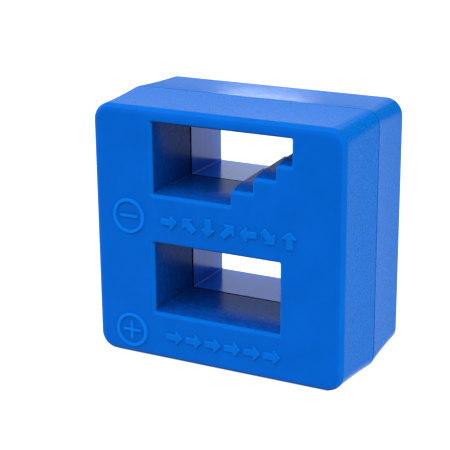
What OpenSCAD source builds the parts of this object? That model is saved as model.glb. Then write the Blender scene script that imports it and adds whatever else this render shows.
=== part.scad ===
// Magnetizing and demagnetizing block for small tools.
// Two moulded half shells close round two ferrite block magnets. Each shell carries its half of two
// windows that run through the block: the lower one magnetizes a tool that is drawn through it, and
// the upper one, with its stair, demagnetizes it.
// X runs across the front from left to right, Y from the front to the rear, and Z up. The origin is
// on the ground under the middle of the block.

/* [Body] */
// Width of the body at its seam
body_w = 52; // [50:0.5:60]
// Height of the body at its seam
body_h = 50; // [50:0.5:60]
// Depth from the front of the raised symbols to the rear face
body_d = 28; // [27:0.5:36]
// Place of the seam behind the middle of the depth
seam_y = 1; // [-2:0.5:2]
// Corner radius seen from the front, at the seam
corner_r = 3.2; // [2.6:0.1:4]
// Radius between the front face and the sides
front_edge_r = 1.55; // [1:0.05:2]
// Radius between the rear face and the sides
rear_edge_r = 0.4; // [0.2:0.1:1.5]
// Draft angle of the sides
draft = 2; // [0.5:0.1:2.2]

/* [Windows] */
// Distance from the left side to the left wall of both windows
window_inset = 13.15; // [12:0.05:14]
// Width of the lower window
lower_w = 26; // [22:0.1:26]
// Height of the lower window
lower_h = 13.7; // [12:0.1:14]
// Floor of the lower window above the ground
lower_z = 10; // [10:0.1:11]
// Width of the upper window
upper_w = 28.2; // [26:0.1:28.4]
// Height of the upper window over its floor
upper_h = 13.55; // [12:0.05:13.6]
// Thickness of the bridge between the windows
bridge_h = 9.6; // [9.6:0.1:10]
// Draft angle of the window walls
bore_draft = 0.5; // [0:0.1:1]

/* [Stair] */
// Number of treads above the floor of the upper window
step_count = 3; // [2:1:3]
// Height of each riser
step_rise = 2.9; // [2:0.1:3]
// Length of each tread
step_run = 4.5; // [4:0.1:4.8]
// Distance from the left wall of the window to the first riser
step_start = 16.05; // [14:0.05:16.2]
// Radius of the tread edges
nose_r = 0.6; // [0.3:0.1:1]
// Draft angle of the treads and risers
step_draft = 1.5; // [0.5:0.1:2]

/* [Walls] */
// Thickness of the outer walls and faces
wall = 2.4; // [2.2:0.1:2.4]
// Corner radius of the hollow inside, at the seam
hollow_r = 1.2; // [1.2:0.1:2]
// Thickness of the window walls
tube_wall = 1.8; // [1.6:0.1:1.8]
// Thickness of the inner ribs
rib_t = 1.2; // [1:0.1:1.4]
// Setback of each half's window walls from the seam
shadow_gap = 0.15; // [0.05:0.01:0.2]
// Depth of that setback into the window walls
shadow_depth = 0.6; // [0.3:0.1:0.6]

/* [Seam joint] */
// Height of the lip that the front shell pushes into the rear shell
lip_h = 1.4; // [1:0.1:2]
// Thickness of the lip
lip_t = 1; // [0.8:0.1:1.1]
// Clearance round the lip and the pegs
joint_gap = 0.1; // [0.05:0.01:0.15]
// Diameter of the locating pegs
peg_d = 3; // [2.5:0.1:3.2]
// Length of the pegs past the seam
peg_l = 5; // [3:0.5:6]
// Diameter of the bosses that carry the pegs and their sockets
boss_d = 5.6; // [5.4:0.1:6]

/* [Magnets] */
// Width of each ferrite block
magnet_w = 25; // [20:1:25]
// Depth of each ferrite block
magnet_d = 20; // [16:1:20]
// Height of each ferrite block
magnet_h = 5; // [4:0.5:5]
// Corner radius of the ferrite blocks
magnet_r = 0.8; // [0.4:0.1:1.5]

/* [Symbols] */
// Height of the raised symbols over the front face
relief = 0.3; // [0.2:0.05:0.4]
// Outer radius of the rings round the polarity signs
ring_r = 3.45; // [3:0.05:3.6]
// Width of the rings
ring_t = 0.75; // [0.4:0.05:0.8]
// Length of the strokes of the polarity signs
sign_l = 3.8; // [3:0.1:4]
// Width of the strokes of the polarity signs
sign_t = 0.65; // [0.4:0.05:0.8]
// Length of one arrow
arrow_l = 3.5; // [3:0.1:3.6]
// Distance between neighbouring arrows
arrow_pitch = 4.1; // [4:0.05:4.2]

/* [Hidden] */
$fn = 64;
blue = "#0a5fd0";
ferrite = "#3a3a3c";
foam = "#20222a";

front_y = relief - body_d / 2;
rear_y = body_d / 2;
front_l = seam_y - front_y;
rear_l = rear_y - seam_y;
spare = 4;

window_x = window_inset - body_w / 2;
upper_z = lower_z + lower_h + bridge_h;
magnet_x = window_x + lower_w / 2;
bridge_mid_z = lower_z + lower_h + bridge_h / 2;
base_mid_z = (wall + front_l * tan(draft) + lower_z - tube_wall) / 2;
pocket_gap = 0.2;
pad_h = magnet_h - 0.4;
pad_w = magnet_w - 5;
stop_x = magnet_w * 0.3;

// Bosses stand in the middle of the columns beside the windows, one at each corner.
boss_low = 7.5;
boss_high = body_h - 7.5;
column_l = (window_x - tube_wall - body_w / 2 + wall) / 2;
column_low = (window_x + lower_w + tube_wall + body_w / 2 - wall) / 2;
column_high = (window_x + upper_w + tube_wall + body_w / 2 - wall) / 2;
bosses = [[column_l, boss_low], [column_l, boss_high], [column_low, boss_low], [column_high, boss_high]];
socket_l = peg_l + 0.8;
rib_zs = [lower_z + lower_h / 2, bridge_mid_z, upper_z + upper_h / 3];
column_ribs = [column_l, column_low];
rib_setback = 0.5;

sign_x = -18;
minus_z = bridge_mid_z;
plus_z = 5.45;
upper_row = 7;
upper_row_x = 3;
upper_row_z = 28.4;
lower_row = 6;
lower_row_x = 1.65;
lower_row_z = 5.5;
scatter = 135;

// ---- Outlines ----

// Points of an arc that rounds the corner b between a and c with radius r.
function unit(v) = v / norm(v);
function cross_z(u, v) = u[0] * v[1] - u[1] * v[0];
function corner_arc(a, b, c, r, n) =
    let (
        u = unit(a - b),
        v = unit(c - b),
        half = acos(u * v) / 2,
        centre = b + unit(u + v) * r / sin(half),
        start = b + u * r / tan(half) - centre,
        sweep = (180 - 2 * half) * sign(cross_z(-u, v))
    )
    [for (i = [0:n]) let (t = sweep * i / n)
        centre + [start[0] * cos(t) - start[1] * sin(t), start[0] * sin(t) + start[1] * cos(t)]];

// Rounds each corner of a closed outline by its own radius. A radius of 0 keeps the corner sharp.
function rounded(points, radii, n = 6) =
    let (last = len(points) - 1)
    [for (i = [0:last])
        let (a = points[i == 0 ? last : i - 1], b = points[i], c = points[i == last ? 0 : i + 1])
        each radii[i] > 0 ? corner_arc(a, b, c, radii[i], n) : [b]];

function box_outline(x, z, w, h, out) =
    [[x - out, z - out], [x + w + out, z - out], [x + w + out, z + h + out], [x - out, z + h + out]];

// The space over a floor with the stair at its right, anticlockwise from the floor's left end.
function stair_outline(left, floor, right, top, out) =
    concat(
        [[left, floor]],
        [for (i = [0:step_count - 1], up = [0, 1])
            [window_x + step_start + i * step_run + out, i + up == 0 ? floor : upper_z + (i + up) * step_rise - out]],
        [[right, upper_z + step_count * step_rise - out], [right, top], [left, top]]
    );

module lower_outline(out) {
    polygon(rounded(box_outline(window_x, lower_z, lower_w, lower_h, out), [for (i = [0:3]) out]));
}

module upper_outline(out) {
    right = window_x + upper_w + out;
    polygon(stair_outline(window_x - out, upper_z - out, right, upper_z + upper_h + out, out));
}

// The open side of the stair alone, with its tread edges rounded, reaching past the other walls.
module stair_space() {
    radii = [for (i = [0:step_count - 1], up = [0, 1]) up * nose_r];
    polygon(rounded(
        stair_outline(window_x - spare, upper_z - spare, window_x + upper_w + spare, upper_z + upper_h + spare, 0),
        concat([0], radii, [0, 0, 0])
    ));
}

module rounded_box_outline(w, h, r) {
    square([w - 2 * r, h], center = true);
    square([w, h - 2 * r], center = true);
    for (x = [-1, 1], y = [-1, 1]) translate([x * (w / 2 - r), y * (h / 2 - r)]) circle(r);
}

// ---- Solids ----

// Stands an outline drawn in X and Z upright and runs it from y0 to y1.
module run_y(y0, y1) {
    translate([0, y1, 0]) rotate([90, 0, 0]) linear_extrude(y1 - y0) children();
}

// Turns a bore by small angles about its mouth, so that behind the mouth it leans by up and by left.
module lean(mouth_y, x, z, up, left) {
    side = mouth_y < seam_y ? 1 : -1;
    translate([x, mouth_y, z]) rotate([side * up, 0, side * left]) translate([-x, -mouth_y, -z]) children();
}

// A window with four drafted walls, from its mouth to past the seam. Its left and lower walls lean
// one way, and its right and upper walls the other.
module drafted_window(mouth_y, x, z, w, h) {
    y0 = mouth_y < seam_y ? mouth_y - spare : seam_y - spare;
    y1 = mouth_y < seam_y ? seam_y + spare : mouth_y + spare;
    intersection() {
        lean(mouth_y, x, z, bore_draft, -bore_draft)
            translate([x, y0, z]) cube([w + spare, y1 - y0, h + spare]);
        lean(mouth_y, x + w, z + h, -bore_draft, bore_draft)
            translate([x - spare, y0, z - spare]) cube([w + spare, y1 - y0, h + spare]);
    }
}

module windows(mouth_y) {
    drafted_window(mouth_y, window_x, lower_z, lower_w, lower_h);
    intersection() {
        drafted_window(mouth_y, window_x, upper_z, upper_w, upper_h);
        lean(mouth_y, window_x + step_start, upper_z, step_draft, step_draft)
            run_y(front_y - 2 * spare, rear_y + 2 * spare) stair_space();
    }
}

// Section through one side of a drafted half, from radius r at the seam to the face at height d.
module side_section(r, d, e) {
    mid_z = d - e;
    mid_r = r - mid_z * tan(draft) - e / cos(draft);
    polygon([[0, 0], [r, 0], [mid_r + e * cos(draft), mid_z + e * sin(draft)], [mid_r, mid_z], [mid_r, d], [0, d]]);
    intersection() {
        translate([mid_r, mid_z]) circle(e);
        translate([mid_r, mid_z]) square(e * 2);
    }
}

module full_section(w, r, d, e) {
    for (side = [0, 1]) mirror([side, 0]) translate([w / 2 - r, 0]) side_section(r, d, e);
    translate([r - w / 2, 0]) square([w - 2 * r, d]);
}

// Half of the body, with its seam on the plane z = 0 and its face up.
module drafted_half(w, h, d, r, e) {
    rotate([90, 0, 0]) linear_extrude(h - 2 * r, center = true) full_section(w, r, d, e);
    rotate([90, 0, 90]) linear_extrude(w - 2 * r, center = true) full_section(h, r, d, e);
    for (x = [-1, 1], y = [-1, 1])
        translate([x * (w / 2 - r), y * (h / 2 - r), 0]) rotate_extrude() side_section(r, d, e);
}

module to_front() {
    translate([0, seam_y, body_h / 2]) rotate([90, 0, 0]) children();
}

module to_rear() {
    translate([0, seam_y, body_h / 2]) rotate([-90, 0, 0]) children();
}

module outer_half(d, e) {
    drafted_half(body_w, body_h, d, corner_r, e);
}

module inner_half(d) {
    drafted_half(body_w - 2 * wall, body_h - 2 * wall, d - wall, hollow_r, 0.5);
}

// Narrow groove round each window at the seam, so that the outer walls close first.
module shadow_gaps() {
    run_y(seam_y - shadow_gap, seam_y + shadow_gap) lower_outline(shadow_depth);
    run_y(seam_y - shadow_gap, seam_y + shadow_gap) upper_outline(shadow_depth);
}

// Ring that follows the seam just inside the outer wall: the lip, or with gap the groove it enters.
module seam_ring(height, gap) {
    run_y(seam_y, seam_y + height) translate([0, body_h / 2]) difference() {
        rounded_box_outline(body_w - 2 * (wall - lip_t - gap), body_h - 2 * (wall - lip_t - gap), hollow_r + lip_t);
        rounded_box_outline(body_w - 2 * wall, body_h - 2 * wall, hollow_r);
    }
}

// Everything that stands inside a half between y0 and y1: window walls, bosses, pocket walls and ribs.
module inner_works(y0, y1, rib_y0, rib_y1) {
    run_y(y0, y1) lower_outline(tube_wall);
    run_y(y0, y1) upper_outline(tube_wall);
    for (at = bosses) translate([at[0], y1, at[1]]) rotate([90, 0, 0]) cylinder(d = boss_d, h = y1 - y0);
    // Pocket walls at both ends of the two magnets, and the roof of the upper pocket under the stair.
    for (side = [-1, 1])
        translate([magnet_x + side * (magnet_w / 2 + pocket_gap + rib_t / 2) - rib_t / 2, y0, wall / 2])
            cube([rib_t, y1 - y0, upper_z + (side > 0 ? 2 * step_rise : 0) - wall / 2]);
    translate([window_x + step_start, y0, upper_z - tube_wall])
        cube([step_count * step_run, y1 - y0, tube_wall]);
    // Cross ribs from the outer walls to the window walls, and an upright rib in each column.
    for (z = rib_zs, side = [-1, 1])
        translate([side < 0 ? wall / 2 - body_w / 2 : magnet_x + magnet_w / 2, rib_y0, z - rib_t / 2])
            cube([side < 0 ? window_inset - wall / 2 : body_w / 2 - wall / 2 - magnet_x - magnet_w / 2, rib_y1 - rib_y0, rib_t]);
    for (x = column_ribs)
        translate([x - rib_t / 2, rib_y0, wall / 2]) cube([rib_t, rib_y1 - rib_y0, body_h - wall]);
}

module polarity_sign(z, strokes) {
    translate([sign_x, z]) {
        difference() {
            circle(ring_r);
            circle(ring_r - ring_t);
        }
        for (i = [0:strokes - 1]) rotate(i * 90) square([sign_l, sign_t], center = true);
    }
}

module arrow() {
    tail = -arrow_l / 2;
    neck = arrow_l * 0.05;
    shaft = arrow_l * 0.19;
    barb = arrow_l * 0.48;
    polygon([[tail, -shaft], [neck, -shaft], [neck, -barb], [-tail, 0], [neck, barb], [neck, shaft], [tail, shaft]]);
}

// A row of arrows. With turn, each one is turned on from the one before, so that they point all ways.
module arrow_row(x, z, count, turn) {
    for (i = [0:count - 1])
        translate([x + (i - (count - 1) / 2) * arrow_pitch, z]) rotate(i * turn) arrow();
}

module symbols() {
    run_y(front_y - relief, front_y + wall / 2) {
        polarity_sign(minus_z, 1);
        polarity_sign(plus_z, 2);
        arrow_row(upper_row_x, upper_row_z, upper_row, scatter);
        arrow_row(lower_row_x, lower_row_z, lower_row, 0);
    }
}

// ---- Parts ----

// Front half, with the raised symbols, the lip along the seam, the pegs and the front magnet stops.
module front_shell() color(blue) {
    difference() {
        union() {
            difference() {
                to_front() outer_half(front_l, front_edge_r);
                difference() {
                    to_front() inner_half(front_l);
                    inner_works(front_y, seam_y, front_y, seam_y - rib_setback);
                    for (side = [-1, 1], z = [base_mid_z, bridge_mid_z])
                        translate([magnet_x + side * stop_x - rib_t / 2, front_y, z - magnet_h / 2])
                            cube([rib_t, -magnet_d / 2 - front_y, magnet_h]);
                }
            }
            seam_ring(lip_h, 0);
            for (at = bosses)
                translate([at[0], seam_y - 1, at[1]]) rotate([-90, 0, 0]) cylinder(d = peg_d, h = peg_l + 1);
            symbols();
        }
        windows(front_y);
        shadow_gaps();
    }
}

// Rear half, with the groove for the lip and the sockets for the pegs.
module rear_shell() color(blue) {
    difference() {
        to_rear() outer_half(rear_l, rear_edge_r);
        difference() {
            to_rear() inner_half(rear_l);
            inner_works(seam_y, rear_y, seam_y + lip_h + joint_gap + rib_setback, rear_y);
        }
        seam_ring(lip_h + joint_gap, joint_gap);
        for (at = bosses)
            translate([at[0], seam_y - 1, at[1]]) rotate([-90, 0, 0])
                cylinder(d = peg_d + joint_gap, h = socket_l + 1);
        windows(rear_y);
        shadow_gaps();
    }
}

module magnet(z) {
    translate([magnet_x, 0, z]) color(ferrite) linear_extrude(magnet_h, center = true)
        rounded_box_outline(magnet_w, magnet_d, magnet_r);
}

// Foam that presses a magnet forward against its stops.
module pad(z) {
    translate([magnet_x - pad_w / 2, magnet_d / 2, z - pad_h / 2])
        color(foam) cube([pad_w, rear_y - wall - magnet_d / 2, pad_h]);
}

module bridge_magnet() magnet(bridge_mid_z);
module base_magnet() magnet(base_mid_z);
module bridge_pad() pad(bridge_mid_z);
module base_pad() pad(base_mid_z);

front_shell();
rear_shell();
bridge_magnet();
base_magnet();
bridge_pad();
base_pad();
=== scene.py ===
"""Looks of the magnetizing and demagnetizing block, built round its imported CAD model.

Outlines and sections are in millimetres, and turn into metres when a mesh is made. An outline lies in
X and Z and runs anticlockwise, seen from the front. Each of its samples is (x, z, nx, nz) with the
outward normal, so that a section can move it outwards while it runs along Y.
"""

import math

import bpy
from mathutils import Matrix, Vector
from mathutils.geometry import delaunay_2d_cdt


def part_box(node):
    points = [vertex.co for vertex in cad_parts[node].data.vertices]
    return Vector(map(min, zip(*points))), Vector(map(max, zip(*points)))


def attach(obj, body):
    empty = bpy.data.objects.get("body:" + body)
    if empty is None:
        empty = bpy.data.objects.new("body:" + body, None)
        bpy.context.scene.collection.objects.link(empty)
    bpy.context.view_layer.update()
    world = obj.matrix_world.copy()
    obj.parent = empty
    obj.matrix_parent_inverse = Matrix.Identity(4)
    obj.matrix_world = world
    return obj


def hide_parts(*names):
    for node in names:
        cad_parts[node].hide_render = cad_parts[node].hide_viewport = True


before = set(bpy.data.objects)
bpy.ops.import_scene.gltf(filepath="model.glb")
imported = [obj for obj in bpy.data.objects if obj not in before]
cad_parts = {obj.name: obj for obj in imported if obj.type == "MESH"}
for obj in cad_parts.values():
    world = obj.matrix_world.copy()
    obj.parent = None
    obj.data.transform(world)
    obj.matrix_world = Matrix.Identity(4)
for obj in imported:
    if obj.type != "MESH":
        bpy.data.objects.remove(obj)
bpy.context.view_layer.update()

MM = 0.001
WELD = 1e-4
ARC_STEP = math.radians(9)


def node_box(node):
    """Lowest and highest corner of a CAD node, in millimetres."""
    return [tuple(c / MM for c in corner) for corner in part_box(node)]


# ---- Sizes, in millimetres ----

front_low, front_high = node_box("front_shell")
rear_low, rear_high = node_box("rear_shell")
magnet_low, magnet_high = node_box("bridge_magnet")

HALF_W = rear_high[0]
TOP_Z = rear_high[2]
SEAM_Y = rear_low[1]
REAR_Y = rear_high[1]
RELIEF = 0.3
FRONT_Y = front_low[1] + RELIEF
PEG_TIP_Y = front_high[1]

SEAM_CORNER_R = 2.7
FACE_CORNER_R = 3.3
FRONT_EDGE_R = 1.55
REAR_EDGE_R = 0.4
DRAFT = math.radians(2)
SINK = 0.09
SEAM_R = 0.08
SEAM_SLOT = 0.11
SEAM_SLOT_DEPTH = 0.5

WALL = 2.4
HOLLOW_R = 1.2
TUBE_WALL = 1.8
RIB_T = 1.2
STOP_REACH = 0.3
POCKET_GAP = 0.2
WALL_OVERLAP = 0.25
LIP_H = 1.4
LIP_T = 1.0
JOINT_GAP = 0.1
SHADOW_GAP = 0.42
SHADOW_DEPTH = 0.6
PEG_R = 1.5
BOSS_R = 2.8
PEG_INSET = 7.5
SOCKET_DEPTH = 5.8
RIB_SETBACK = 0.5

WINDOW_X = -12.85
WINDOW_R = 0.25
SHARP_R = 0.05
LOWER = (WINDOW_X, 10.0, 13.15, 23.7)
UPPER = (WINDOW_X, 33.3, 15.35, 46.85)
STEP_COUNT = 3
STEP_RISE = 2.9
STEP_RUN = 4.5
STEP_START = 16.05
FRONT_MOUTH_R = 0.8
REAR_MOUTH_R = 0.3
BORE_DRAFT = math.radians(0.5)
STEP_DRAFT = math.radians(1.5)
MOUTH_NOSE_R = 0.9
NOSE_R = 0.45
BELL = 0.34
BELL_RUN = 4.5
BELL_SHARE = 0.35
MOUTH_FADE = 7.0

SIGN_X = -18.0
MINUS_Z = 28.5
PLUS_Z = 5.5
RING_R = 3.45
RING_T = 0.75
SIGN_L = 3.8
SIGN_T = 0.65
ARROW_L = 3.5
ARROW_PITCH = 4.1
UPPER_ROW = {"x": 3.0, "z": 28.4, "count": 7, "turn": math.radians(135)}
LOWER_ROW = {"x": 1.65, "z": 5.5, "count": 6, "turn": 0.0}
SIGN_CORNER_R = 0.16
SIGN_DOME = 0.15

PAD_CORNER_R = 0.5
PAD_BULGE = 0.35
# How far the curve of a pad's side turns from its middle to each edge, in degrees.
PAD_SWELL = 65


# ---- Outlines ----


def rounded_outline(corners):
    """An outline whose corners, each (x, z, radius), are arcs."""
    samples = []
    for i, (x, z, r) in enumerate(corners):
        x0, z0, _ = corners[i - 1]
        x1, z1, _ = corners[(i + 1) % len(corners)]
        heading = math.atan2(z - z0, x - x0)
        turn = (math.atan2(z1 - z, x1 - x) - heading + math.pi) % math.tau - math.pi
        bend = r if turn > 0 else -r
        trim = r * math.tan(abs(turn) / 2)
        normal = heading - math.pi / 2
        centre_x = x - trim * math.cos(heading) - bend * math.cos(normal)
        centre_z = z - trim * math.sin(heading) - bend * math.sin(normal)
        count = max(2, round(abs(turn) / ARC_STEP))
        for k in range(count + 1):
            angle = normal + turn * k / count
            nx, nz = math.cos(angle), math.sin(angle)
            samples.append((centre_x + bend * nx, centre_z + bend * nz, nx, nz))
    return samples


def circle_outline(x, z, r, inward=False):
    side = -1 if inward else 1
    count = round(math.tau / ARC_STEP)
    samples = []
    for k in range(count):
        c, s = math.cos(math.tau * k / count), math.sin(math.tau * k / count)
        samples.append((x + r * c, z + r * s, side * c, side * s))
    return samples


def box_outline(x0, z0, x1, z1, r):
    return rounded_outline([(x0, z0, r), (x1, z0, r), (x1, z1, r), (x0, z1, r)])


def window_outlines(depth, nose_r, bell=0.0):
    """Both windows at a depth behind the face, where their drafted walls stand closer together.

    bell is by how much more their walls stand apart at the face than behind the flare, on each side. A share
    of it is taken off everywhere.
    """
    left = 1 - min(depth / BELL_RUN, 1)
    widen = bell * (left ** 2 - BELL_SHARE)
    close, climb = depth * math.tan(BORE_DRAFT) - widen, depth * math.tan(STEP_DRAFT) - widen
    x0, z0, x1, z1 = LOWER
    lower = box_outline(x0 + close, z0 + close, x1 - close, z1 - close, WINDOW_R)
    x0, z0, x1, z1 = UPPER
    corners = [(x0 + close, z0 + close, WINDOW_R)]
    for i in range(STEP_COUNT):
        riser = x0 + STEP_START + i * STEP_RUN - climb
        tread = z0 + (i + 1) * STEP_RISE + climb
        foot = tread - STEP_RISE if i else z0 + close
        corners += [(riser, foot, WINDOW_R), (riser, tread, nose_r)]
    right, ceiling = x1 - close, z1 - close
    corners += [(x, z, WINDOW_R) for x, z in ((right, tread), (right, ceiling), (x0 + close, ceiling))]
    return lower, rounded_outline(corners)


def turned(points, x, z, angle):
    """Points of a small shape, turned about its middle and put at x, z, each with a sign's corner radius."""
    c, s = math.cos(angle), math.sin(angle)
    return [(x + px * c - pz * s, z + px * s + pz * c, SIGN_CORNER_R) for px, pz in points]


def moved(outline, out):
    """The plain points of an outline moved outwards."""
    return [(x + out * nx, z + out * nz) for x, z, nx, nz in outline]


def inside(x, z, points):
    hit = False
    for (x0, z0), (x1, z1) in zip(points, points[1:] + points[:1]):
        if (z0 > z) != (z1 > z) and x < (x1 - x0) * (z - z0) / (z1 - z0) + x0:
            hit = not hit
    return hit


def frame_outline(inset, r):
    return box_outline(-HALF_W + inset, inset, HALF_W - inset, TOP_Z - inset, r)


SEAM = frame_outline(0, SEAM_CORNER_R)
HOLLOW = moved(frame_outline(WALL, HOLLOW_R), 0)


# ---- Mesh building ----


class Skin:
    """Gathers faces with the normals of their corners, and joins corners that meet."""

    def __init__(self):
        self.points = []
        self.index = {}
        self.faces = []
        self.normals = []
        self.zones = []

    def corner(self, point):
        key = tuple(round(c / WELD) for c in point)
        if key not in self.index:
            self.index[key] = len(self.points)
            self.points.append(Vector(point))
        return self.index[key]

    def face(self, corners, normals, zone):
        """Adds a face, turned so that it faces along its normals, and joins corners that fall together."""
        ids = [self.corner(p) for p in corners]
        kept = [i for i in range(len(ids)) if ids[i] != ids[i - 1]]
        if len(set(ids[i] for i in kept)) < 3:
            return
        ids, normals = [ids[i] for i in kept], [Vector(normals[i]).normalized() for i in kept]
        points = [self.points[i] for i in ids]
        rays = [p - points[0] for p in points[1:]]
        area = sum((a.cross(b) for a, b in zip(rays, rays[1:])), Vector())
        if area.dot(sum(normals, Vector())) < 0:
            ids, normals = ids[::-1], normals[::-1]
        self.faces.append(ids)
        self.normals += normals
        self.zones.append(zone)

    def strip(self, stations, zone):
        """A surface through outlines. A station is (outline, out, y, outward and Y part of the normal)."""
        for (first, out0, y0, no0, ny0), (last, out1, y1, no1, ny1) in zip(stations, stations[1:]):
            for i in range(len(first)):
                a, b, c, d = first[i - 1], first[i], last[i], last[i - 1]
                corners = [(s[0] + out * s[2], y, s[1] + out * s[3])
                           for s, out, y in ((a, out0, y0), (b, out0, y0), (c, out1, y1), (d, out1, y1))]
                normals = [(no * s[2], ny, no * s[3])
                           for s, no, ny in ((a, no0, ny0), (b, no0, ny0), (c, no1, ny1), (d, no1, ny1))]
                self.face(corners, normals, zone)

    def band(self, outline, stations, zone):
        """A strip that follows a single outline."""
        self.strip([(outline, *station) for station in stations], zone)

    def loft(self, first, y0, last, y1, zone):
        """A wall that faces into a window, between its outline at y0 and its outline at y1."""
        pairs = list(zip(first, last))
        for (a, b), (c, d) in zip(pairs, pairs[1:] + pairs[:1]):
            corners = [(a[0], y0, a[1]), (c[0], y0, c[1]), (d[0], y1, d[1]), (b[0], y1, b[1])]
            normals = []
            for s, p, q in ((a, a, b), (c, c, d), (d, c, d), (b, a, b)):
                shift = (q[0] - p[0]) * s[2] + (q[1] - p[1]) * s[3]
                normals.append((-s[2], shift / (y1 - y0), -s[3]))
            self.face(corners, normals, zone)

    def sheet(self, loops, y, facing, zone):
        """A flat face at y, bounded by loops of points and open in every second one."""
        for ids, points in triangles(loops):
            x, z = (sum(points[i][k] for i in ids) / 3 for k in (0, 1))
            if sum(inside(x, z, loop) for loop in loops) % 2:
                self.face([(points[i][0], y, points[i][1]) for i in ids], [(0, facing, 0)] * 3, zone)

    def terrain(self, loops, height, facing, zone):
        """Level faces at height(x, z) along Y, with upright walls where neighbours differ in height.

        The zone of a level face is zone(y), and a wall has the later one of its two levels' zones.
        """
        levels, sides, points = {}, {}, []
        for ids, points in triangles(loops):
            x, z = (sum(points[i][k] for i in ids) / 3 for k in (0, 1))
            y = height(x, z)
            if y is None:
                continue
            self.face([(points[i][0], y, points[i][1]) for i in ids], [(0, facing, 0)] * 3, zone(y))
            for i, j in zip(ids, ids[1:] + ids[:1]):
                levels.setdefault(i, set()).add(y)
                sides.setdefault((min(i, j), max(i, j)), []).append((y, x, z))
        for (i, j), cells in sides.items():
            if len(cells) < 2 or cells[0][0] == cells[1][0]:
                continue
            (y0, x0, z0), (y1, x1, z1) = sorted(cells)
            a, b = points[i], points[j]
            across = Vector((b[1] - a[1], 0, a[0] - b[0]))
            downhill = Vector((x0 - x1, 0, z0 - z1)) * facing
            if across.dot(downhill) < 0:
                across = -across
            up = [y for y in sorted(levels[i]) if y0 <= y <= y1]
            down = [y for y in sorted(levels[j], reverse=True) if y0 <= y <= y1]
            corners = [(a[0], y, a[1]) for y in up] + [(b[0], y, b[1]) for y in down]
            self.face(corners, [across] * len(corners), max(zone(y0), zone(y1)))

    def make(self, name, materials):
        mesh = bpy.data.meshes.new(name)
        mesh.from_pydata([p * MM for p in self.points], [], self.faces)
        for material in materials:
            mesh.materials.append(material)
        mesh.polygons.foreach_set("material_index", self.zones)
        mesh.polygons.foreach_set("use_smooth", [True] * len(self.faces))
        mesh.normals_split_custom_set(self.normals)
        mesh.update()
        obj = bpy.data.objects.new(name, mesh)
        bpy.context.scene.collection.objects.link(obj)
        return obj


def triangles(loops):
    """Triangles over the loops' points, as (three point numbers, all points)."""
    points, edges = [], []
    for loop in loops:
        first, count = len(points), len(loop)
        points += loop
        edges += [(first + i, first + (i + 1) % count) for i in range(count)]
    flat = [Vector(p) for p in points]
    found, _, faces, origins, _, _ = delaunay_2d_cdt(flat, edges, [], 0, WELD / 10)
    placed = [points[o[0]] if o else tuple(p) for p, o in zip(found, origins)]
    return [(list(face), placed) for face in faces]


def arc(count, start, end):
    return [math.radians(start + (end - start) * k / count) for k in range(count + 1)]


# ---- The two shells ----

# The last three zones hold painted highlights, and painted shade in the gap at the seam.
SATIN, GRAIN, BORE, INNER, HIGHLIGHT, SOFT_HIGHLIGHT, GAP_SHADE = range(7)
WALL_STEPS = 12
BELL_STEPS = 6


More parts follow.
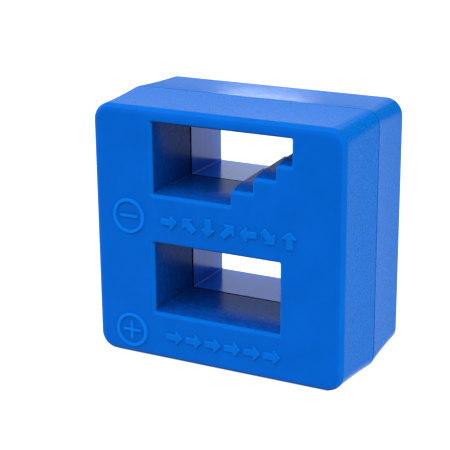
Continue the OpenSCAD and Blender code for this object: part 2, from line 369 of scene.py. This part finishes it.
class Half:
    """One half of the body, with its face at face_y. out is 1 or -1, from the seam to the face along Y."""

    def __init__(self, face_y, edge_r, mouth_r, bell):
        self.face_y = face_y
        self.edge_r = edge_r
        self.mouth_r = mouth_r
        self.bell = bell
        self.out = math.copysign(1, face_y - SEAM_Y)
        self.length = abs(face_y - SEAM_Y)
        self.skin = Skin()

    def y(self, depth):
        """The Y of a point at a depth from the seam."""
        return SEAM_Y + self.out * depth

    def outer(self):
        """The slot and the rounded edge at the seam, the side walls, and the rounded edge to the face."""
        seam_r, edge_r = SEAM_R, self.edge_r
        seam_y, slot_y = self.y(0), self.y(SEAM_SLOT)
        self.skin.band(SEAM, [(-SEAM_SLOT_DEPTH, seam_y, 1, 0), (-SEAM_SLOT_DEPTH, slot_y, 1, 0)], INNER)
        side = [(out, slot_y, 0, -self.out) for out in (-SEAM_SLOT_DEPTH, -seam_r)]
        self.skin.band(SEAM, side, GRAIN)
        start = SEAM_SLOT + seam_r
        stations = [(seam_r * (math.cos(a) - 1), self.y(start + seam_r * math.sin(a)),
                     math.cos(a), self.out * math.sin(a)) for a in arc(4, -90, 0)]
        self.skin.band(SEAM, stations, GRAIN)
        middle = self.length - edge_r
        crease = middle + edge_r * math.sin(DRAFT)
        end = -crease * math.tan(DRAFT)
        stations = []
        for k in range(WALL_STEPS + 1):
            u = k / WALL_STEPS
            corner_r = SEAM_CORNER_R + (FACE_CORNER_R - SEAM_CORNER_R) * u
            outline = frame_outline(-end * u + 4 * SINK * u * (1 - u), corner_r)
            slope = math.tan(DRAFT) + 4 * SINK * (1 - 2 * u) / crease
            stations.append((outline, 0, self.y(start + (crease - start) * u), 1, self.out * slope))
        self.skin.strip(stations, GRAIN)
        stations = [(edge_r * (math.cos(a) - math.cos(DRAFT)), self.y(middle + edge_r * math.sin(a)),
                     math.cos(a), self.out * math.sin(a)) for a in arc(9, math.degrees(DRAFT), 90)]
        # The side half of the rounded edge to the face takes a lighter blue: a painted highlight.
        self.skin.band(outline, stations[:6], SOFT_HIGHLIGHT)
        self.skin.band(outline, stations[5:], SATIN)
        self.rim = moved(outline, stations[-1][0])

    def bores(self):
        """Rounded mouths and drafted walls of both windows, as far as the gap at the seam."""
        m = self.mouth_r
        mouth = [(m - m * math.sin(a), self.y(self.length - m + m * math.cos(a)),
                  -math.sin(a), self.out * math.cos(a)) for a in arc(8, 0, 90)]
        depths = [m + (BELL_RUN - m) * k / BELL_STEPS for k in range(BELL_STEPS + 1)]
        depths.append(self.length - SHADOW_GAP)
        noses = [NOSE_R + (MOUTH_NOSE_R - NOSE_R) * max(0, 1 - depth / BELL_RUN) for depth in depths]
        stages = [window_outlines(depth, nose, self.bell) for depth, nose in zip(depths, noses)]
        ys = [self.y(self.length - depth) for depth in depths]
        for windows, next_windows, y0, y1 in zip(stages, stages[1:], ys, ys[1:]):
            for first, last in zip(windows, next_windows):
                self.skin.loft(first, y0, last, y1, BORE)
        # The mouth's rounding is painted lighter towards the window's wall, as a highlight that is strongest
        # on the sills.
        for window in stages[0]:
            self.skin.band(window, mouth[:3], SATIN)
            self.skin.band(window, mouth[2:6], SOFT_HIGHLIGHT)
            self.skin.band(window, mouth[5:], HIGHLIGHT)
        self.window_rims = [moved(window, m) for window in stages[0]]
        self.seam_rims = [moved(window, 0) for window in stages[-1]]

    def signs(self, signs):
        """The face, and raised signs with rounded shoulders. A sign is (outlines, the zone of its top)."""
        for outlines, top in signs:
            dome = [(SIGN_DOME * (math.cos(a) - 1), self.y(self.length + RELIEF * math.sin(a)),
                     math.cos(a) / SIGN_DOME, self.out * math.sin(a) / RELIEF) for a in arc(5, 0, 90)]
            # The rounded shoulders take the lighter blue of a painted highlight.
            for outline in outlines:
                self.skin.band(outline, dome, HIGHLIGHT)
            self.skin.sheet([moved(o, dome[-1][0]) for o in outlines], dome[-1][1], self.out, top)
        loops = [moved(outline, 0) for outlines, _ in signs for outline in outlines]
        self.skin.sheet([self.rim, *self.window_rims, *loops], self.face_y, self.out, SATIN)

    def inner(self, features, ring, ring_y):
        """The hidden side: the land at the seam with lip or groove, and the hollow with its features.

        Each feature is (loop, y), and the first one that holds a point sets the height there.
        """
        seam_rim = moved(SEAM, -SEAM_SLOT_DEPTH)
        plate = self.y(self.length - WALL)
        tubes = [moved(window, TUBE_WALL) for window in window_outlines(0, TUBE_WALL + SHARP_R)]
        gaps = [moved(window, SHADOW_DEPTH) for window in window_outlines(0, SHADOW_DEPTH + SHARP_R)]

        def height(x, z):
            if any(inside(x, z, loop) for loop in self.seam_rims):
                return None
            if any(inside(x, z, loop) for loop in gaps):
                return self.y(SHADOW_GAP)
            for loop, y in features:
                if inside(x, z, loop):
                    return y
            if not inside(x, z, HOLLOW):
                return ring_y if inside(x, z, ring) else self.y(0)
            if any(inside(x, z, loop) for loop in tubes):
                return self.y(0)
            return plate

        # The level at the bottom of the gap at the seam takes a near-black blue: painted shade in the gap.
        def zone(y):
            return GAP_SHADE if y == self.y(SHADOW_GAP) else INNER

        loops = [seam_rim, ring, HOLLOW, *tubes, *gaps, *self.seam_rims, *[loop for loop, _ in features]]
        self.skin.terrain(loops, height, -self.out, zone)


def box_loop(x0, z0, x1, z1):
    return [(x0, z0), (x1, z0), (x1, z1), (x0, z1)]


def round_loop(x, z, r):
    return moved(circle_outline(x, z, r), 0)


def column_middles():
    """X in the middle of the hollow left of the windows, and right of the lower and the upper window."""
    edge = HALF_W - WALL
    return (WINDOW_X - TUBE_WALL - edge) / 2, *((w[2] + TUBE_WALL + edge) / 2 for w in (LOWER, UPPER))


def boss_places():
    left, low_right, high_right = column_middles()
    low, high = PEG_INSET, TOP_Z - PEG_INSET
    return [(left, low), (left, high), (low_right, low), (high_right, high)]


def rib_loops():
    """Cross ribs between the side walls and the window walls, and an upright rib in each column."""
    left, right = LOWER[0] - SHADOW_DEPTH - WALL_OVERLAP, LOWER[2] + SHADOW_DEPTH + WALL_OVERLAP
    lower, bridge = (LOWER[1] + LOWER[3]) / 2, (LOWER[3] + UPPER[1]) / 2
    heights = [lower, bridge, UPPER[1] + (UPPER[3] - UPPER[1]) / 3]
    edge = HALF_W - WALL
    loops = [box_loop(x0, z - RIB_T / 2, x1, z + RIB_T / 2)
             for z in heights for x0, x1 in ((-edge, left), (right, edge))]
    low, high = WALL, TOP_Z - WALL
    return loops + [box_loop(x - RIB_T / 2, low, x + RIB_T / 2, high) for x in column_middles()[:2]]


def pocket_loops():
    """Walls at both ends of the magnets, clear of the windows, and the pocket's roof under the stair."""
    left, right = magnet_low[0] - POCKET_GAP - RIB_T, magnet_high[0] + POCKET_GAP
    below, above = LOWER[1] - WALL_OVERLAP, LOWER[3] + WALL_OVERLAP
    stair = WINDOW_X + STEP_START
    return [box_loop(left, WALL, left + RIB_T, below),
            box_loop(left, above, left + RIB_T, UPPER[1] - WALL_OVERLAP),
            box_loop(right, WALL, right + RIB_T, below),
            box_loop(right, above, right + RIB_T, UPPER[1] + 2 * STEP_RISE),
            box_loop(stair, UPPER[1] - TUBE_WALL, stair + STEP_COUNT * STEP_RUN, UPPER[1])]


def stop_loops():
    """Short ribs on the front plate that the magnets rest against."""
    middle = (magnet_low[0] + magnet_high[0]) / 2
    reach = (magnet_high[0] - magnet_low[0]) * STOP_REACH
    loops = []
    for node in ("bridge_magnet", "base_magnet"):
        low, high = node_box(node)
        for side in (-1, 1):
            x = middle + side * reach
            loops.append(box_loop(x - RIB_T / 2, low[2], x + RIB_T / 2, high[2]))
    return loops


def ring_loop(gap):
    """Outside of the lip along the seam, or with gap that of the groove that it enters."""
    return moved(frame_outline(WALL - LIP_T - gap, HOLLOW_R + LIP_T), 0)


def arrow_points():
    tail, neck = -ARROW_L / 2, ARROW_L * 0.05
    shaft, barb = ARROW_L * 0.19, ARROW_L * 0.48
    upper = [(neck, barb), (neck, shaft), (tail, shaft)]
    return [(x, -z) for x, z in reversed(upper)] + [(-tail, 0)] + upper


def arrow_row(x, z, count, turn):
    """Arrows in a row whose middle is at x, z, each turned by a further angle from the one before it."""
    left = x - (count - 1) / 2 * ARROW_PITCH
    places = [(left + i * ARROW_PITCH, z, i * turn) for i in range(count)]
    return [[rounded_outline(turned(arrow_points(), *place))] for place in places]


def ring_sign(z):
    return [circle_outline(SIGN_X, z, RING_R), circle_outline(SIGN_X, z, RING_R - RING_T, inward=True)]


def bar_points():
    a, b = SIGN_L / 2, SIGN_T / 2
    return [(-a, -b), (a, -b), (a, b), (-a, b)]


def cross_points():
    a, b = SIGN_L / 2, SIGN_T / 2
    quarter = [(b, -b), (a, -b), (a, b)]
    turns = [(1, 0), (0, 1), (-1, 0), (0, -1)]
    return [(x * c - z * s, x * s + z * c) for c, s in turns for x, z in quarter]


def front_signs():
    polarity = [
        ring_sign(MINUS_Z),
        [rounded_outline(turned(bar_points(), SIGN_X, MINUS_Z, 0))],
        ring_sign(PLUS_Z),
        [rounded_outline(turned(cross_points(), SIGN_X, PLUS_Z, 0))],
    ]
    arrows = arrow_row(**UPPER_ROW) + arrow_row(**LOWER_ROW)
    # The signs' tops are painted lighter as a highlight, the polarity signs more than the arrows.
    return [(sign, HIGHLIGHT) for sign in polarity] + [(sign, SOFT_HIGHLIGHT) for sign in arrows]


def front_shell(materials):
    half = Half(FRONT_Y, FRONT_EDGE_R, FRONT_MOUTH_R, BELL)
    half.outer()
    half.bores()
    half.signs(front_signs())
    places = boss_places()
    features = [(round_loop(x, z, PEG_R), PEG_TIP_Y) for x, z in places]
    features += [(round_loop(x, z, BOSS_R), half.y(0)) for x, z in places]
    features += [(loop, half.y(0)) for loop in pocket_loops()]
    features += [(loop, magnet_low[1]) for loop in stop_loops()]
    features += [(loop, half.y(RIB_SETBACK)) for loop in rib_loops()]
    half.inner(features, ring_loop(0), half.y(-LIP_H))
    return half.skin.make("front_shell_skin", materials)


def rear_shell(materials):
    half = Half(REAR_Y, REAR_EDGE_R, REAR_MOUTH_R, 0.0)
    half.outer()
    half.bores()
    half.signs([])
    places = boss_places()
    features = [(round_loop(x, z, PEG_R + JOINT_GAP / 2), half.y(SOCKET_DEPTH)) for x, z in places]
    features += [(round_loop(x, z, BOSS_R), half.y(0)) for x, z in places]
    features += [(loop, half.y(0)) for loop in pocket_loops()]
    features += [(loop, half.y(LIP_H + JOINT_GAP + RIB_SETBACK)) for loop in rib_loops()]
    half.inner(features, ring_loop(JOINT_GAP), half.y(LIP_H + JOINT_GAP))
    return half.skin.make("rear_shell_skin", materials)


def foam_pad(node, material):
    """A foam strip, flat where the magnet and the rear plate press it, with sides that swell."""
    low, high = node_box(node)
    middle, half = (low[1] + high[1]) / 2, (high[1] - low[1]) / 2
    outline = box_outline(low[0], low[2], high[0], high[2], PAD_CORNER_R)
    steep = math.radians(PAD_SWELL)
    pull, press = PAD_BULGE / (1 - math.cos(steep)), half / math.sin(steep)
    sides = [(pull * (math.cos(a) - 1), middle + press * math.sin(a), math.cos(a), math.sin(a))
             for a in arc(10, -PAD_SWELL, PAD_SWELL)]
    skin = Skin()
    skin.band(outline, sides, 0)
    for side, facing in ((sides[0], -1), (sides[-1], 1)):
        skin.sheet([moved(outline, side[0])], side[1], facing, 0)
    return skin.make(node + "_foam", [material])


# ---- Materials ----

# The range that noise mostly stays in.
MIDDLE = (0.3, 0.7)
# The normal's Z where the painted shade along the lowest edges begins, and where it gives way to the flat
# underside.
PAINTED_SHADE_STARTS = (-0.45, -0.75)
PAINTED_SHADE_ENDS = (-0.985, -0.996)
# How far the painted shade along the lowest edges darkens the base colour.
PAINTED_SHADE_DARKNESS = 0.2


class Finish:
    """A Principled material whose colour, roughness and relief come from procedural textures."""

    def __init__(self, name, color, roughness, specular):
        self.material = bpy.data.materials.new(name)
        self.material.use_nodes = True
        self.tree = self.material.node_tree
        self.shader = self.tree.nodes["Principled BSDF"]
        self.shader.inputs["Base Color"].default_value = (*color, 1)
        self.shader.inputs["Roughness"].default_value = roughness
        self.shader.inputs["Specular IOR Level"].default_value = specular
        self.normal = None

    def node(self, kind, **values):
        node = self.tree.nodes.new(kind)
        for key, value in values.items():
            node.inputs[key].default_value = value
        return node

    def split(self, vector):
        """The X, Y and Z parts of a vector."""
        node = self.node("ShaderNodeSeparateXYZ")
        self.tree.links.new(vector, node.inputs["Vector"])
        return node.outputs

    def facing(self):
        """The X, Y and Z parts of the surface's normal."""
        return self.split(self.node("ShaderNodeNewGeometry").outputs["Normal"])

    def coordinates(self, stretch=(1, 1, 1)):
        place = self.node("ShaderNodeTexCoord")
        mapping = self.node("ShaderNodeMapping", Scale=stretch)
        self.tree.links.new(place.outputs["Object"], mapping.inputs["Vector"])
        return mapping.outputs["Vector"]

    def noise(self, size, detail=2.0, roughness=0.5, stretch=(1, 1, 1)):
        """Noise with features of a size in millimetres, drawn out along axes with a stretch below 1."""
        node = self.node("ShaderNodeTexNoise", Scale=1 / (size * MM), Detail=detail, Roughness=roughness)
        self.tree.links.new(self.coordinates(stretch), node.inputs["Vector"])
        return node.outputs["Fac"]

    def cells(self, size):
        node = self.node("ShaderNodeTexVoronoi", Scale=1 / (size * MM))
        self.tree.links.new(self.coordinates(), node.inputs["Vector"])
        return node.outputs["Distance"]

    def streaks(self, size):
        """Fine lines along Y, and upright ones on a wall that faces left or right."""
        sideways = self.math("ABSOLUTE", self.facing()["X"], 0)
        along = self.noise(size, 3, 0.6, (1, 0.04, 0.3))
        upright = self.noise(size, 3, 0.6, (0.3, 1, 0.04))
        change = self.math("MULTIPLY", self.math("SUBTRACT", upright, along), sideways)
        return self.math("ADD", along, change)

    def ramp(self, value, low, high, start=0.0, end=1.0):
        node = self.node("ShaderNodeMapRange")
        for key, number in (("From Min", start), ("From Max", end), ("To Min", low), ("To Max", high)):
            node.inputs[key].default_value = number
        self.tree.links.new(value, node.inputs["Value"])
        return node.outputs["Result"]

    def mix(self, value, first, second):
        """A colour between two others. Either is a colour or another node's output."""
        node = self.tree.nodes.new("ShaderNodeMix")
        node.data_type = "RGBA"
        ends = [i for i in node.inputs if i.type == "RGBA"]
        for end, color in zip(ends, (first, second)):
            if isinstance(color, tuple):
                end.default_value = (*color, 1)
            else:
                self.tree.links.new(color, end)
        self.tree.links.new(value, node.inputs["Factor"])
        return [o for o in node.outputs if o.type == "RGBA"][0]

    def tint(self, value, dark, light):
        """Base colour between two colours, and darker with painted shade along the lowest edges."""
        color = self.mix(self.ramp(value, 0, 1, *MIDDLE), dark, light)
        # Painted shade: faces turned down towards the floor, short of the flat underside, are darkened as if
        # in the block's contact shadow.
        upright = self.facing()["Z"]
        low = self.ramp(upright, 0, 1, *PAINTED_SHADE_STARTS)
        edge = self.math("MULTIPLY", low, self.ramp(upright, 1, 0, *PAINTED_SHADE_ENDS))
        self.paint(self.mix(edge, color, shade(dark, PAINTED_SHADE_DARKNESS)))

    def paint(self, color):
        self.tree.links.new(color, self.shader.inputs["Base Color"])

    def math(self, operation, first, second):
        node = self.tree.nodes.new("ShaderNodeMath")
        node.operation = operation
        for i, value in enumerate((first, second)):
            if isinstance(value, (int, float)):
                node.inputs[i].default_value = value
            else:
                self.tree.links.new(value, node.inputs[i])
        return node.outputs[0]

    def glow(self, value, strength):
        glow = self.math("MULTIPLY", value, strength)
        self.tree.links.new(glow, self.shader.inputs["Emission Strength"])

    def rough(self, value):
        self.tree.links.new(value, self.shader.inputs["Roughness"])

    def relief(self, value, height, strength=1.0):
        """Relief with a height in millimetres, on top of any earlier relief."""
        bump = self.node("ShaderNodeBump", Strength=strength, Distance=height * MM)
        self.tree.links.new(value, bump.inputs["Height"])
        if self.normal:
            self.tree.links.new(self.normal, bump.inputs["Normal"])
        self.normal = bump.outputs["Normal"]
        self.tree.links.new(self.normal, self.shader.inputs["Normal"])


def shade(color, factor):
    return tuple(c * factor for c in color)


BLUE = (0.0, 0.073, 0.31)
# A lighter copy of the face's blue: a painted highlight on rounded edges, window mouths and arrows.
SOFT_HIGHLIGHT_BLUE = (0.0, 0.089, 0.345)
GRAIN_BLUE = (0.0, 0.1, 0.35)
# A still lighter copy of the face's blue: a painted highlight on sign shoulders and window sills.
HIGHLIGHT_BLUE = (0.0, 0.11, 0.405)
BORE_BLUE = (0.0, 0.12, 0.54)
# Darker than the face's blue: painted shade inside the front windows.
SHADED_BORE_BLUE = (0.0, 0.036, 0.18)


def satin(name, color):
    """Fine satin of the front: even, with a slight mottle and a very fine relief."""
    finish = Finish(name, color, 0.55, 0.02)
    finish.tint(finish.noise(5, 5, 0.7), shade(color, 0.94), shade(color, 1.06))
    finish.rough(finish.ramp(finish.noise(2.5, 3), 0.48, 0.64, *MIDDLE))
    finish.relief(finish.noise(0.16, 2, 0.6), 0.012, 0.6)
    return finish.material


def grained(name):
    """Spark-eroded grain of the sides, with fine speckle."""
    finish = Finish(name, GRAIN_BLUE, 0.3, 0.021)
    finish.tint(finish.noise(0.3, 5, 0.85), shade(GRAIN_BLUE, 0.3), shade(GRAIN_BLUE, 1.7))
    finish.rough(finish.ramp(finish.noise(0.5, 2), 0.14, 0.26, *MIDDLE))
    finish.relief(finish.noise(0.5, 3, 0.7), 0.02, 0.7)
    return finish.material


def grained_bore(name):
    """Window walls of the front half: a fine grain on a blue darker than the face's, as painted shade, with
    painted light that makes the floors near the mouth brighter; these floors are also duller.
    """
    finish = Finish(name, SHADED_BORE_BLUE, 0.2, 0.036)
    y = finish.split(finish.coordinates())["Y"]
    near_mouth = finish.ramp(y, 1, 0, FRONT_Y * MM, (FRONT_Y + MOUTH_FADE) * MM)
    # Painted light: floors near the front mouth are made brighter, as if lit through the mouth.
    painted_light_near_mouth = finish.math("MULTIPLY", near_mouth, finish.ramp(finish.facing()["Z"], 0, 1, 0.3, 0.8))
    grain = finish.noise(0.8, 4, 0.7)
    dark = finish.mix(painted_light_near_mouth, shade(SHADED_BORE_BLUE, 0.5), shade(SHADED_BORE_BLUE, 1.0))
    light = finish.mix(painted_light_near_mouth, shade(SHADED_BORE_BLUE, 1.35), shade(SHADED_BORE_BLUE, 2.1))
    finish.paint(finish.mix(finish.ramp(grain, 0, 1, *MIDDLE), dark, light))
    rough = finish.ramp(finish.noise(0.6, 3), 0.12, 0.26, *MIDDLE)
    finish.rough(finish.math("ADD", rough, finish.math("MULTIPLY", painted_light_near_mouth, 0.8)))
    finish.relief(finish.noise(0.45, 3, 0.7), 0.03, 0.8)
    return finish.material


def drawn_bore(name):
    """Window walls of the rear half: glossier, with the fine marks that the mould's polishing left."""
    finish = Finish(name, BORE_BLUE, 0.2, 0.3)
    lines = finish.streaks(0.4)
    finish.tint(lines, shade(BORE_BLUE, 0.8), shade(BORE_BLUE, 1.2))
    finish.rough(finish.ramp(lines, 0.12, 0.26, *MIDDLE))
    finish.relief(lines, 0.006, 0.5)
    return finish.material


def hidden(name):
    finish = Finish(name, BLUE, 0.5, 0.3)
    finish.tint(finish.noise(8, 3, 0.6), shade(BLUE, 0.9), shade(BLUE, 1.02))
    finish.rough(finish.ramp(finish.noise(1.2, 3), 0.4, 0.6, *MIDDLE))
    finish.relief(finish.noise(0.4, 3, 0.6), 0.03, 0.6)
    return finish.material


def ferrite(name):
    """Ground ferrite: dark grey, with fine grinding lines and small pores."""
    finish = Finish(name, (0.035, 0.035, 0.038), 0.4, 0.5)
    finish.tint(finish.noise(0.8, 5, 0.7), (0.024, 0.024, 0.027), (0.05, 0.05, 0.054))
    lines = finish.noise(0.25, 3, 0.6, (0.03, 1, 1))
    finish.rough(finish.ramp(lines, 0.28, 0.55, *MIDDLE))
    finish.relief(lines, 0.006, 0.6)
    finish.relief(finish.cells(0.5), 0.015, 0.4)
    return finish.material


def foam(name):
    """Closed-cell foam: nearly black and dull, pitted all over."""
    finish = Finish(name, (0.015, 0.016, 0.02), 0.9, 0.2)
    finish.tint(finish.noise(0.4, 3, 0.6), (0.008, 0.009, 0.012), (0.024, 0.025, 0.03))
    finish.relief(finish.cells(0.28), 0.08, 0.9)
    return finish.material


satin_blue = satin("satin_blue", BLUE)
grained_blue = grained("grained_blue")
inner_blue = hidden("inner_blue")
# A near-black blue: painted shade in the gap at the seam.
painted_gap_shade = satin("painted_gap_shade", shade(BLUE, 0.06))
# Lighter copies of the face's satin: painted highlights.
painted_highlight_blue = satin("painted_highlight_blue", HIGHLIGHT_BLUE)
painted_soft_highlight_blue = satin("painted_soft_highlight_blue", SOFT_HIGHLIGHT_BLUE)
front_bore_blue = grained_bore("front_bore_blue")
rear_bore_blue = drawn_bore("rear_bore_blue")


def shell_materials(bore):
    """A shell's materials, in the order of the zones."""
    return [satin_blue, grained_blue, bore, inner_blue, painted_highlight_blue, painted_soft_highlight_blue, painted_gap_shade]


# ---- Camera, floor and light ----

DAYLIGHT = (0.87, 0.97, 1.16)
WORLD_STRENGTH = 0.2
FLOOR_GLOW = 1.15
FLOOR_REACH = 1500
FOOTPRINT_FADE = (-0.8 * MM, -0.2 * MM)
FRONT_FADE = (-160 * MM, -85 * MM)
CAMERA_PLACE = (0.1142, -0.2253, 0.1069)
CAMERA_YAW = math.radians(27.854)
CAMERA_PITCH = math.radians(17.909)
CAMERA_ROLL = math.radians(-0.525)


def make_camera():
    data = bpy.data.cameras.new("camera")
    data.sensor_width = 36
    data.lens = 111.14
    data.clip_start = 0.01
    data.clip_end = 20
    camera = bpy.data.objects.new("camera", data)
    camera.matrix_world = (
        Matrix.Translation(CAMERA_PLACE)
        @ Matrix.Rotation(CAMERA_YAW, 4, "Z")
        @ Matrix.Rotation(math.pi / 2 - CAMERA_PITCH, 4, "X")
        @ Matrix.Rotation(CAMERA_ROLL, 4, "Z")
    )
    bpy.context.scene.collection.objects.link(camera)
    bpy.context.scene.camera = camera


def outside_footprint(finish):
    """0 on the floor under the block, within its rounded edges, and 1 outside it: the floor's glow is cut
    there as a painted contact shadow.
    """
    parts = finish.split(finish.coordinates())
    gaps = []
    front_y = FRONT_Y + FRONT_EDGE_R
    middle_y = (front_y + REAR_Y) / 2
    for axis, middle, half in (("X", 0, HALF_W - FACE_CORNER_R), ("Y", middle_y, REAR_Y - middle_y)):
        away = finish.math("ABSOLUTE", finish.math("SUBTRACT", parts[axis], middle * MM), 0)
        gaps.append(finish.math("SUBTRACT", away, half * MM))
    gap = finish.math("MAXIMUM", *gaps)
    return finish.ramp(gap, 0, 1, *FOOTPRINT_FADE)


def toward_rear(finish):
    """1 on the floor round and behind the block, fading some way in front of it."""
    return finish.ramp(finish.split(finish.coordinates())["Y"], 0.3, 1, *FRONT_FADE)


def make_floor():
    skin = Skin()
    corners = [(x * FLOOR_REACH, y * FLOOR_REACH, 0) for x, y in ((-1, -1), (1, -1), (1, 1), (-1, 1))]
    skin.face(corners, [(0, 0, 1)] * 4, 0)
    finish = Finish("floor_white", (0.2, 0.2, 0.2), 0.9, 0.0)
    finish.shader.inputs["Emission Color"].default_value = (*DAYLIGHT, 1)
    finish.glow(finish.math("MULTIPLY", outside_footprint(finish), toward_rear(finish)), FLOOR_GLOW)
    skin.make("floor", [finish.material])


def area_light(name, place, target, size, radiance):
    """A soft box. Its power follows from its size and from the radiance of its face."""
    data = bpy.data.lights.new(name, "AREA")
    data.shape = "RECTANGLE"
    data.size, data.size_y = size
    data.energy = radiance * math.pi * size[0] * size[1]
    data.color = DAYLIGHT
    light = bpy.data.objects.new(name, data)
    light.location = place
    light.rotation_euler = (Vector(target) - Vector(place)).to_track_quat("-Z", "Y").to_euler()
    light.visible_camera = False
    bpy.context.scene.collection.objects.link(light)


def make_light():
    world = bpy.data.worlds.new("studio")
    world.use_nodes = True
    background = world.node_tree.nodes["Background"]
    background.inputs["Color"].default_value = (*DAYLIGHT, 1)
    background.inputs["Strength"].default_value = WORLD_STRENGTH
    bpy.context.scene.world = world
    middle = (0, 0, 0.025)
    area_light("left_box", (-0.55, -0.1, 0.25), middle, (0.5, 0.5), 4.0)
    area_light("right_box", (0.54, -0.12, 0.25), middle, (0.5, 0.5), 4.0)
    area_light("key_box", (-0.05, -0.36, 0.45), middle, (0.6, 0.4), 5.2)
    area_light("top_box", (0, 0.15, 0.6), middle, (0.6, 0.5), 1.3)
    area_light("back_box", (-0.5, 0.75, 0.5), middle, (1.3, 0.7), 1.03)
    area_light("back_strip", (-0.387, 0.812, 0.135), middle, (0.07, 0.022), 15)


front = front_shell(shell_materials(front_bore_blue))
rear = rear_shell(shell_materials(rear_bore_blue))
for piece, node in ((front, "front_shell"), (rear, "rear_shell")):
    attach(piece, "root")
    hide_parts(node)

foam_black = foam("foam_black")
for node in ("bridge_pad", "base_pad"):
    pad = foam_pad(node, foam_black)
    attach(pad, "root")
    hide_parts(node)

ferrite_grey = ferrite("ferrite_grey")
for node in ("bridge_magnet", "base_magnet"):
    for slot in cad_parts[node].material_slots:
        slot.material = ferrite_grey

make_camera()
make_floor()
make_light()
bpy.context.scene.view_settings.view_transform = "Standard"
